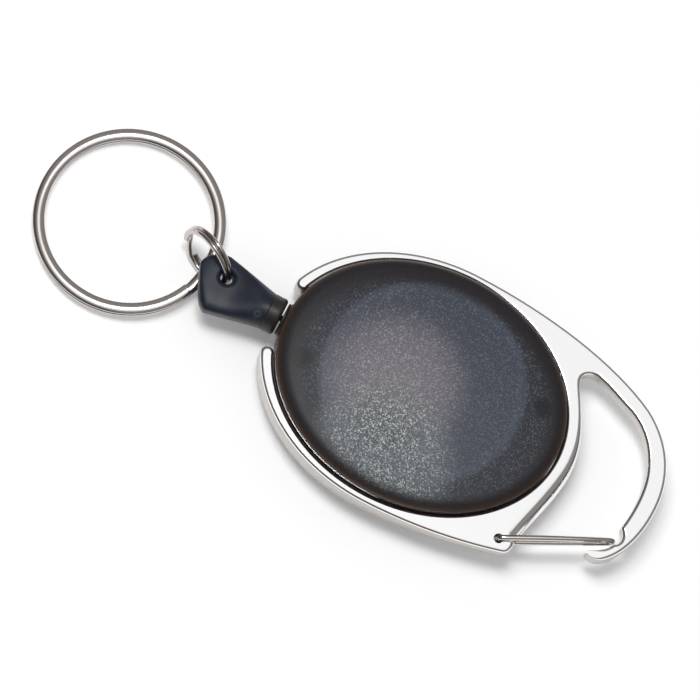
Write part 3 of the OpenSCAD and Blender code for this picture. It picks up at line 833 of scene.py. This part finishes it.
# %% Edge profiles
NOSE = Vector((28.6, -9.1))
NOSE_NEAR = 0.25
NOSE_FAR = 2.6
LEAST_ROLL = 0.10
turns = [math.radians(90 * i / ROLL_STEPS) for i in range(ROLL_STEPS + 1)]
ROUND_EDGE = [(1 - math.cos(t), 1 - math.sin(t)) for t in turns]
LEDGE = [(0.0, 0.95), (0.05, 0.62), (0.14, 0.42), (0.62, 0.36), (0.72, 0.27), (0.92, 0.03), (1.0, 0.0)]


def edge_point(wall, inner, level, side, step):
    """Where one point of a rolled edge goes, in plan and height. Side is 1 on top and -1 below."""
    roll = LEAST_ROLL + (1 - LEAST_ROLL) * share((wall - NOSE).length, NOSE_NEAR, NOSE_FAR)
    along_case = side > 0 and math.hypot(wall.x / OVAL, wall.y) < HOLE_R + 0.02
    ledge = share(wall.x, 7.0, -1.0) if along_case else 0.0
    across = ROUND_EDGE[step][0] * (1 - ledge) + LEDGE[step][0] * ledge
    down = ROUND_EDGE[step][1] * (1 - ledge) + LEDGE[step][1] * ledge
    flat = wall + (inner - wall) * across * roll
    return flat.x, flat.y, level - side * ROLL * roll * down


for loops, level, side in ((top_loops, FACE_Z, 1), (low_loops, arm_low, -1)):
    ends = [(a.co.xy.copy(), b.co.xy.copy()) for a, b in zip(loops[0], loops[-1])]
    for step, loop in enumerate(loops):
        for vert, (wall, inner) in zip(loop, ends):
            vert.co = edge_point(wall, inner, level, side, step)

# %% [markdown]
# Beside the crescent, on the side of the case, the face curves down to the opening in one
# long slope. The loops of the rolled edge are drawn out to make it: each goes to its own
# distance from the opening and its own depth. The slope is narrower where the plate is.

# %% Slope beside the crescent
SLOPE = [(0.0, 1.85), (0.12, 1.02), (0.30, 0.60), (0.62, 0.27), (0.95, 0.09), (1.28, 0.018), (1.62, 0.0)]
LEAST_SLOPE = 0.26
slope_path = [(17.9, 10.6, 0.0)] + slope_line + [(19.8, -12.55, 0.0)]

for loop, (inward, depth) in zip(top_loops, SLOPE):
    for vert in loop:
        off = off_line(vert.co.xy, slope_path)
        if off.length > ROLL + 0.05:
            continue
        weight = share(vert.co.y, 11.4, 7.5) * share(vert.co.y, -13.4, -11.6)
        full = LEAST_SLOPE + (1 - LEAST_SLOPE) * share(vert.co.y, 8.5, -4.5)
        case_side = Vector((-1, 0.12)).normalized() if off.length < 1e-4 else off.normalized()
        if case_side.x > 0:
            case_side = -case_side
        rest = vert.co.copy()
        target = rest.xy - off + case_side * inward * full
        vert.co.xy = rest.xy + (target - rest.xy) * weight
        vert.co.z += (FACE_Z - depth * math.sqrt(full) - rest.z) * weight

# %% [markdown]
# The plate is thinner under the hook than at the arms. Two cuts across the frame mark
# where its underside starts to rise and where it is level again.

# %% Underside
RAMP_FROM = 4.0
RAMP_TO = 13.0
for place in (RAMP_FROM, RAMP_TO):
    bmesh.ops.bisect_plane(bm, geom=bm.verts[:] + bm.edges[:] + bm.faces[:], plane_co=(place, 0, 0),
                           plane_no=(1, 0, 0), dist=1e-5)
for vert in bm.verts:
    if vert.co.z < arm_low + ROLL + 0.01:
        rise = min(1.0, max(0.0, (vert.co.x - RAMP_FROM) / (RAMP_TO - RAMP_FROM)))
        vert.co.z += (PLATE_Z - arm_low) * rise
bmesh.ops.triangulate(bm, faces=[face for face in bm.faces if len(face.verts) > 4])
hook_frame = piece("hook_frame", bm, frame_plate, "casing", ["carabiner_frame"], sharp=50)

# %% [markdown]
# ## The wire gate
# One wire is bent into a long hairpin. Its two ends turn into the hole in the frame's
# tab from above and below, and the round end rests in the notch of the hook. A curve
# with a round bevel is the natural way to make wire.

# %% Gate
HINGE = Vector((17.7, -13.0))
GATE_TIP = Vector((31.2, -5.95))
WIRE_R = 0.36
TAB_LOW = 4.5
BEND = 0.5
LEG_GAP = 1.5
leg_top = FACE_Z + 0.05 + WIRE_R
leg_low = TAB_LOW - 0.05 - WIRE_R
tip_z = (leg_top + leg_low) / 2 - 0.25
leg_far = (GATE_TIP - HINGE).length - LEG_GAP / 2 - WIRE_R


def bend_points(cx, cz, r, start, stop, count):
    """A bend between two angles in degrees."""
    turns = [math.radians(start + (stop - start) * i / count) for i in range(count + 1)]
    return [(cx + r * math.cos(t), cz + r * math.sin(t)) for t in turns]


def leg_points(z_from, z_to, order):
    """A leg of the gate, which nears the other one toward the round end."""
    return [(leg_far * t, z_from + (z_to - z_from) * t ** 3) for t in (i / 12 for i in order)]


wire_line = [(0.0, MID_Z + 0.35), (0.0, leg_top - BEND - 0.3)]
wire_line += bend_points(BEND, leg_top - BEND, BEND, 180, 90, 8)
wire_line += leg_points(leg_top, tip_z + LEG_GAP / 2, range(1, 12))
wire_line += bend_points(leg_far, tip_z, LEG_GAP / 2, 90, -90, 16)
wire_line += leg_points(leg_low, tip_z - LEG_GAP / 2, range(11, 0, -1))
wire_line += bend_points(BEND, leg_low + BEND, BEND, 270, 180, 8)
wire_line += [(0.0, leg_low + BEND + 0.3), (0.0, MID_Z + 0.2)]


def wire(name, points, radius, rounds):
    """A bmesh tube along points, with closed ends."""
    line = bpy.data.curves.new(name, "CURVE")
    line.dimensions = "3D"
    line.bevel_depth = radius
    line.bevel_resolution = rounds
    line.use_fill_caps = True
    spline = line.splines.new("POLY")
    spline.points.add(len(points) - 1)
    for point, place in zip(spline.points, points):
        point.co = (*place, 1.0)
    holder = bpy.data.objects.new(name, line)
    scene.collection.objects.link(holder)
    mesh = bpy.data.meshes.new_from_object(holder.evaluated_get(bpy.context.evaluated_depsgraph_get()))
    bm = bmesh.new()
    bm.from_mesh(mesh)
    bpy.data.objects.remove(holder)
    bpy.data.curves.remove(line)
    bpy.data.meshes.remove(mesh)
    return bm


PIN_HOLE_R = 0.54
COUNTERSINK = 0.12


def pin_hole(bm):
    """The hole that the gate's two ends turn in, with a small countersink."""
    wide = PIN_HOLE_R + COUNTERSINK
    line = [(0.0, FACE_Z + 1), (wide, FACE_Z + 1), (wide, FACE_Z), (PIN_HOLE_R, FACE_Z - 0.14),
            (PIN_HOLE_R, PLATE_Z - 1), (0.0, PLATE_Z - 1)]
    turned(bm, [(HINGE.x + r, HINGE.y, z) for r, z in line], (0, 0, 1), 48, centre=(HINGE.x, HINGE.y, 0))


cut(hook_frame, [("pin_tool", pin_hole)], 50, level_faces=True)

gate_way = (GATE_TIP - HINGE).normalized()
gate_points = [(HINGE.x + gate_way.x * u, HINGE.y + gate_way.y * u, z) for u, z in wire_line]
piece("gate_wire", wire("gate", gate_points, WIRE_R, 6), wire_plate, "gate", ["wire_gate"], sharp=60)

# %% [markdown]
# ## Cord end
# The eyelet and the collar are turned about the cord's line, which runs along X at the
# middle of the case.

# %% Eyelet and collar
def turned_on_cord(line, steps):
    """A closed ring turned round the cord from a loop of (x, radius) points."""
    bm = bmesh.new()
    verts, edges = loop_of(bm, [(x, 0, MID_Z + r) for x, r in line])
    bmesh.ops.spin(bm, geom=verts + edges, cent=(0, 0, MID_Z), axis=(1, 0, 0), steps=steps,
                   angle=2 * math.pi, use_merge=True)
    return bm


FERRULE_X = 20.05
CAP_X = 21.9
eyelet_line = [(-16.52, 0.6), (-16.52, 1.3), (-19.56, 1.3), (-19.56, 2.12), (-19.62, 2.2), (-19.76, 2.2),
               (-19.85, 2.1), (-19.85, 0.8), (-19.78, 0.66), (-19.6, 0.6)]
piece("exit_ring", turned_on_cord(eyelet_line, 64), collar_black, "casing", ["exit_eyelet"])

collar_line = [(-FERRULE_X, 0.6), (-FERRULE_X, 2.12), (-FERRULE_X - 0.07, 2.3), (-FERRULE_X - 0.2, 2.43),
               (-FERRULE_X - 0.42, 2.5), (-21.0, 2.47), (-CAP_X + 0.12, 2.5), (-CAP_X + 0.02, 2.42),
               (-CAP_X, 1.93), (-FERRULE_X - 0.4, 1.93), (-FERRULE_X - 0.4, 0.6)]
piece("collar", turned_on_cord(collar_line, 72), collar_black, "end_fitting",
      ["end_ferrule"])

# %% [markdown]
# ## Cap
# The cap is moulded in two halves, round at the collar and flat and wide at the ring. Each
# half is a row of half sections, made one by one, that turn from round to square.

# %% Cap sections
CAP_LEN = 10.5
CAP_NARROW = 4.9
CAP_WIDE = 8.0
CAP_T = 2.8
CAP_NOSE = 3.2
CAP_TIP_Y = 1.3
STRAND = Vector((-28.5, 1.2))
CAP_ROWS = 16
SECTION_STEPS = 40
SPLIT = 0.015


def half_section(x, low, high, rise, square, side):
    """Half a section of the cap between two values of y, from its half height and how square it is."""
    power = 1 - 0.55 * square
    middle = (low + high) / 2
    wide = (high - low) / 2
    points = []
    for i in range(SECTION_STEPS + 1):
        across = math.cos(math.pi * i / SECTION_STEPS)
        height = max(0.0, 1 - abs(across) ** (2 / power)) ** (power / 2)
        points.append((-x, middle + across * wide, MID_Z + side * (SPLIT + height * rise)))
    return points


def cap_sections(side):
    """The cap's sections, along its flaring body and then round its lopsided nose."""
    tail = CAP_LEN - CAP_NOSE
    rows = []
    for i in range(CAP_ROWS + 1):
        t = i / CAP_ROWS
        flat = share(t, 0.0, 0.8)
        wide = (CAP_NARROW + (CAP_WIDE - CAP_NARROW) * t) / 2
        rise = (CAP_NARROW + (CAP_T - CAP_NARROW) * flat) / 2
        rows.append(half_section(CAP_X + tail * t, -wide, wide, rise, flat, side))
    for i in range(1, CAP_ROWS + 1):
        t = math.radians(84 * i / CAP_ROWS)
        s = math.sin(t)
        high = CAP_TIP_Y + (CAP_WIDE / 2 - CAP_TIP_Y) * math.sqrt(1 - s * s)
        low = CAP_TIP_Y - (CAP_WIDE / 2 + CAP_TIP_Y) * (1 - s ** 1.6)
        rise = CAP_T / 2 - 0.5 * (1 - math.cos(t))
        rows.append(half_section(CAP_X + tail + CAP_NOSE * s, low, high, rise, 1.0, side))
    return rows


# %% [markdown]
# The sections are joined with bridges and closed at both ends, and each half gets its
# share of the neck that sits in the collar. Two tools take out the ring's hole, with a
# rolled lip, and the room for the knot.

# %% Cap halves
LIP_R = 0.62
HOLE_R_CAP = 0.85
NECK_R = 1.88
NECK_BORE_R = 1.35


def ring_hole(bm):
    """The ring's hole, rolled open at both faces."""
    half = CAP_T / 2
    line = [(0.0, half + 1.0), (HOLE_R_CAP + 0.9, half + 1.0), (HOLE_R_CAP + LIP_R, half + 0.01)]
    turns = [math.radians(15 * i) for i in range(1, 7)]
    line += [(HOLE_R_CAP + LIP_R * (1 - math.sin(t)), half - LIP_R * (1 - math.cos(t))) for t in turns]
    line += [(d, -h) for d, h in reversed(line)]
    points = [(STRAND.x + d, STRAND.y, MID_Z + h) for d, h in line]
    turned(bm, points, (0, 0, 1), 64, centre=(*STRAND, MID_Z))


def knot_room(bm):
    """The bore for the cord and the pocket for the knot."""
    line = [(-CAP_X + 2, 0.0), (-CAP_X + 2, 0.5), (-23.7, 0.5), (-23.75, 1.25), (-26.1, 1.25), (-26.1, 0.0)]
    turned(bm, [(x, 0, MID_Z + r) for x, r in line], (1, 0, 0), 32, centre=(0, 0, MID_Z))


def cap_half(name, side, node):
    bm = bmesh.new()
    loops = [loop_of(bm, row)[1] for row in cap_sections(side)]
    for one, two in zip(loops, loops[1:]):
        bmesh.ops.bridge_loops(bm, edges=one + two)
    bmesh.ops.contextual_create(bm, geom=loops[0])
    bmesh.ops.contextual_create(bm, geom=loops[-1])
    neck_end = -CAP_X - 0.1
    neck = [(neck_end, NECK_BORE_R), (neck_end, NECK_R), (-20.5, NECK_R), (-20.5, NECK_BORE_R)]
    add_half_ring(bm, neck, 89.0, 20, side)
    obj = piece(name, bm, cap_blue, "end_fitting", [node], sharp=40)
    cut(obj, [("hole_tool", ring_hole), ("knot_tool", knot_room)], 40)


cap_half("cap_front", 1, "end_cap_front")
cap_half("cap_back", -1, "end_cap_back")

# %% [markdown]
# ## The cord
# A short length shows between the eyelet and the collar. It is not hung on a CAD body.

# %% Cord
CORD_R = 0.4
cord_points = [(-17.6 - 0.2 * i, 0.0, MID_Z) for i in range(32)]
cord = piece("cord_line", wire("cord", cord_points, CORD_R, 4), cord_black, None, ["cord_tail"])
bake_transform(cord)

# %% [markdown]
# ## Split rings
# A split ring is springy wire coiled twice. The section is spun three times: once round
# the lower turn, a short way while it climbs, and once round the upper turn.

# %% Split ring
RING_CLEAR = 0.05


def split_ring(od, band, high, climb_from, climb_to, crown):
    """Two turns of wire about Z. The wire climbs between two angles, in degrees.

    A crown of 1 makes the wire's section an oval, and a larger one brings it to a ridge.
    """
    bm = bmesh.new()
    mean = (od - band) / 2
    half_h = (high - RING_CLEAR) / 4
    level = half_h + RING_CLEAR / 2
    start = climb_to + 2.0
    verts = []
    for i in range(24):
        t = 2 * math.pi * i / 24
        across = math.copysign(abs(math.cos(t)) ** crown, math.cos(t)) * band / 2
        rise = math.copysign(abs(math.sin(t)) ** crown, math.sin(t)) * half_h
        verts.append(bm.verts.new((mean + across, 0, rise - level)))
    first = bm.faces.new(verts)
    rotate(bm, start, "Z")
    geom = [first] + list(first.edges) + list(first.verts)
    climb = climb_to - climb_from
    flat = 360 + climb_from - start
    for angle, rise in ((flat, 0.0), (climb, 2 * level), (flat, 0.0)):
        steps = max(6, round(angle / 3))
        done = bmesh.ops.spin(bm, geom=geom, cent=(0, 0, 0), dvec=(0, 0, rise / steps), axis=(0, 0, 1),
                              steps=steps, angle=math.radians(angle))
        geom = done["geom_last"]
    return bm


def place_ring(bm, lean, lean_axis, turn, at, z):
    """Leans a ring, turns it about Z and puts its centre in place."""
    rotate(bm, lean, lean_axis)
    rotate(bm, turn, "Z")
    bmesh.ops.translate(bm, vec=(at.x, at.y, z), verts=bm.verts)


def heading(degrees):
    """A direction in plan, of length 1."""
    return Vector((math.cos(math.radians(degrees)), math.sin(math.radians(degrees))))


# %% [markdown]
# The small ring stands in the cap's hole and leans a little, with its ends below. The key
# ring hangs in the small ring, and its other side lies on the floor.

# %% Small ring and key ring
SMALL_OD = 8.6
SMALL_BAND = 0.8
SMALL_H = 1.3
SMALL_TURN = 153.0
SMALL_LEAN = 10.0
small_at = STRAND + heading(SMALL_TURN) * ((SMALL_OD - SMALL_BAND) / 2)
lean = math.radians(SMALL_LEAN)
small_z = SMALL_OD / 2 * math.cos(lean) + SMALL_H / 2 * math.sin(lean)
bm = split_ring(SMALL_OD, SMALL_BAND, SMALL_H, -62, -22, 0.95)
place_ring(bm, 90 + SMALL_LEAN, "X", SMALL_TURN, small_at, small_z)
piece("small_ring_wire", bm, shaded_small_plate, "small_ring", ["small_split_ring"], sharp=60)

KEY_OD = 25.0
KEY_BAND = 1.6
KEY_H = 1.5
KEY_TURN = -2.0
KEY_TILT = 3.2
KEY_FROM_STRAND = 3.18
key_at = STRAND + heading(SMALL_TURN) * KEY_FROM_STRAND - heading(KEY_TURN) * ((KEY_OD - KEY_BAND) / 2)
tilt = math.radians(KEY_TILT)
key_z = KEY_H / 2 * math.cos(tilt) + KEY_OD / 2 * math.sin(tilt)
bm = split_ring(KEY_OD, KEY_BAND, KEY_H, -19, 10, 1.12)
place_ring(bm, -KEY_TILT, "Y", KEY_TURN, key_at, key_z)
piece("key_ring_wire", bm, ring_plate, "key_ring", ["key_split_ring"], sharp=60)

# %% [markdown]
# ## The works inside
# The drum, the spring and the pins keep their CAD shapes. They only need their finishes.

# %% Finishes on the CAD nodes that stay
inside = {
    "cord_drum": drum_white, "drum_lid": drum_white, "spring_arbor": drum_white, "front_washer": drum_white,
    "back_washer": drum_white, "power_spring": spring_blue, "case_pins": pin_grey, "axle_pin": axle_brass,
    "cord_winding": cord_black, "cord_run": cord_black, "end_knot": cord_black,
}
for node, finish in inside.items():
    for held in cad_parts[node].material_slots:
        held.material = finish.material
